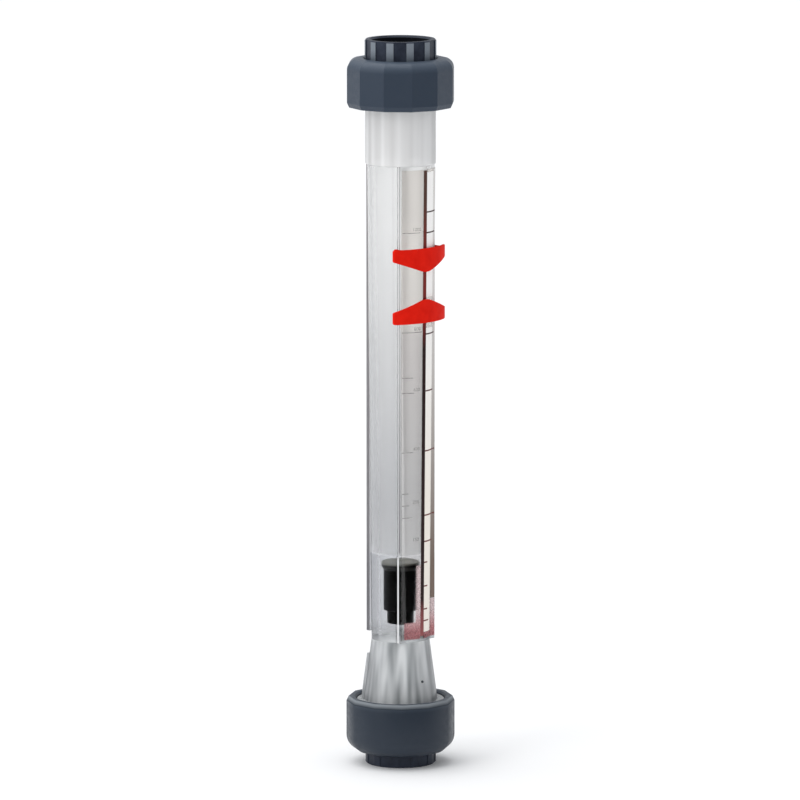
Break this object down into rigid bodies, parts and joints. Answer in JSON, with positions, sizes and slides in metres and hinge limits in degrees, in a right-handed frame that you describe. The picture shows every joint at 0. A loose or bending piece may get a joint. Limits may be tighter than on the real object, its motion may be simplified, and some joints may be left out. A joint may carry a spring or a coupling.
{
  "type": "variable area flowmeter",
  "caption": "Variable area flowmeter: a clear tapered tube with a float, a printed scale and sliding pointers, between two union ends for cemented pipe.",
  "frame": {"origin": "bottom centre of the bounding box: the middle of the lower pipe end", "axes": "+Z along the tube in the direction of flow; the scale and the pointers face -Y"},
  "size_m": [0.0594, 0.0594, 0.4],
  "materials": {
    "clear_tube": "clear, glossy",
    "scale_print": "printed clear film",
    "grey_plastic": "satin, moulded",
    "seal_rubber": "matte",
    "stop_plastic": "clear, glossy",
    "float_plastic": "turned, satin",
    "ballast_steel": "turned",
    "pointer_plastic": "moulded, glossy"
  },
  "bodies": {
    "root": {"measuring_tube": "clear_tube", "scale_film": "scale_print", "lower_end_connector": "grey_plastic", "upper_end_connector": "grey_plastic", "lower_seal_ring": "seal_rubber", "upper_seal_ring": "seal_rubber", "lower_float_stop": "stop_plastic", "upper_float_stop": "stop_plastic"},
    "float": {"float_body": "float_plastic", "float_head": "float_plastic", "float_ballast": "ballast_steel"},
    "lower_pointer_slide": {"lower_pointer": "pointer_plastic"},
    "upper_pointer_slide": {"upper_pointer": "pointer_plastic"},
    "lower_nut": {"lower_union_nut": "grey_plastic"},
    "upper_nut": {"upper_union_nut": "grey_plastic"}
  },
  "joints": [
    {"name": "float_travel", "type": "slide", "parent": "root", "child": "float", "axis": [0, 0, 1], "range_m": [0, 0.248]},
    {"name": "lower_pointer_travel", "type": "slide", "parent": "root", "child": "lower_pointer_slide", "axis": [0, 0, 1], "range_m": [-0.175, 0.007]},
    {"name": "upper_pointer_travel", "type": "slide", "parent": "root", "child": "upper_pointer_slide", "axis": [0, 0, 1], "range_m": [-0.007, 0.042]},
    {"name": "lower_nut_turn", "type": "hinge", "parent": "root", "child": "lower_nut", "pos_m": [0, 0, 0.0218], "axis": [0, 0, 1], "continuous": true},
    {"name": "upper_nut_turn", "type": "hinge", "parent": "root", "child": "upper_nut", "pos_m": [0, 0, 0.3763], "axis": [0, 0, 1], "continuous": true}
  ]
}
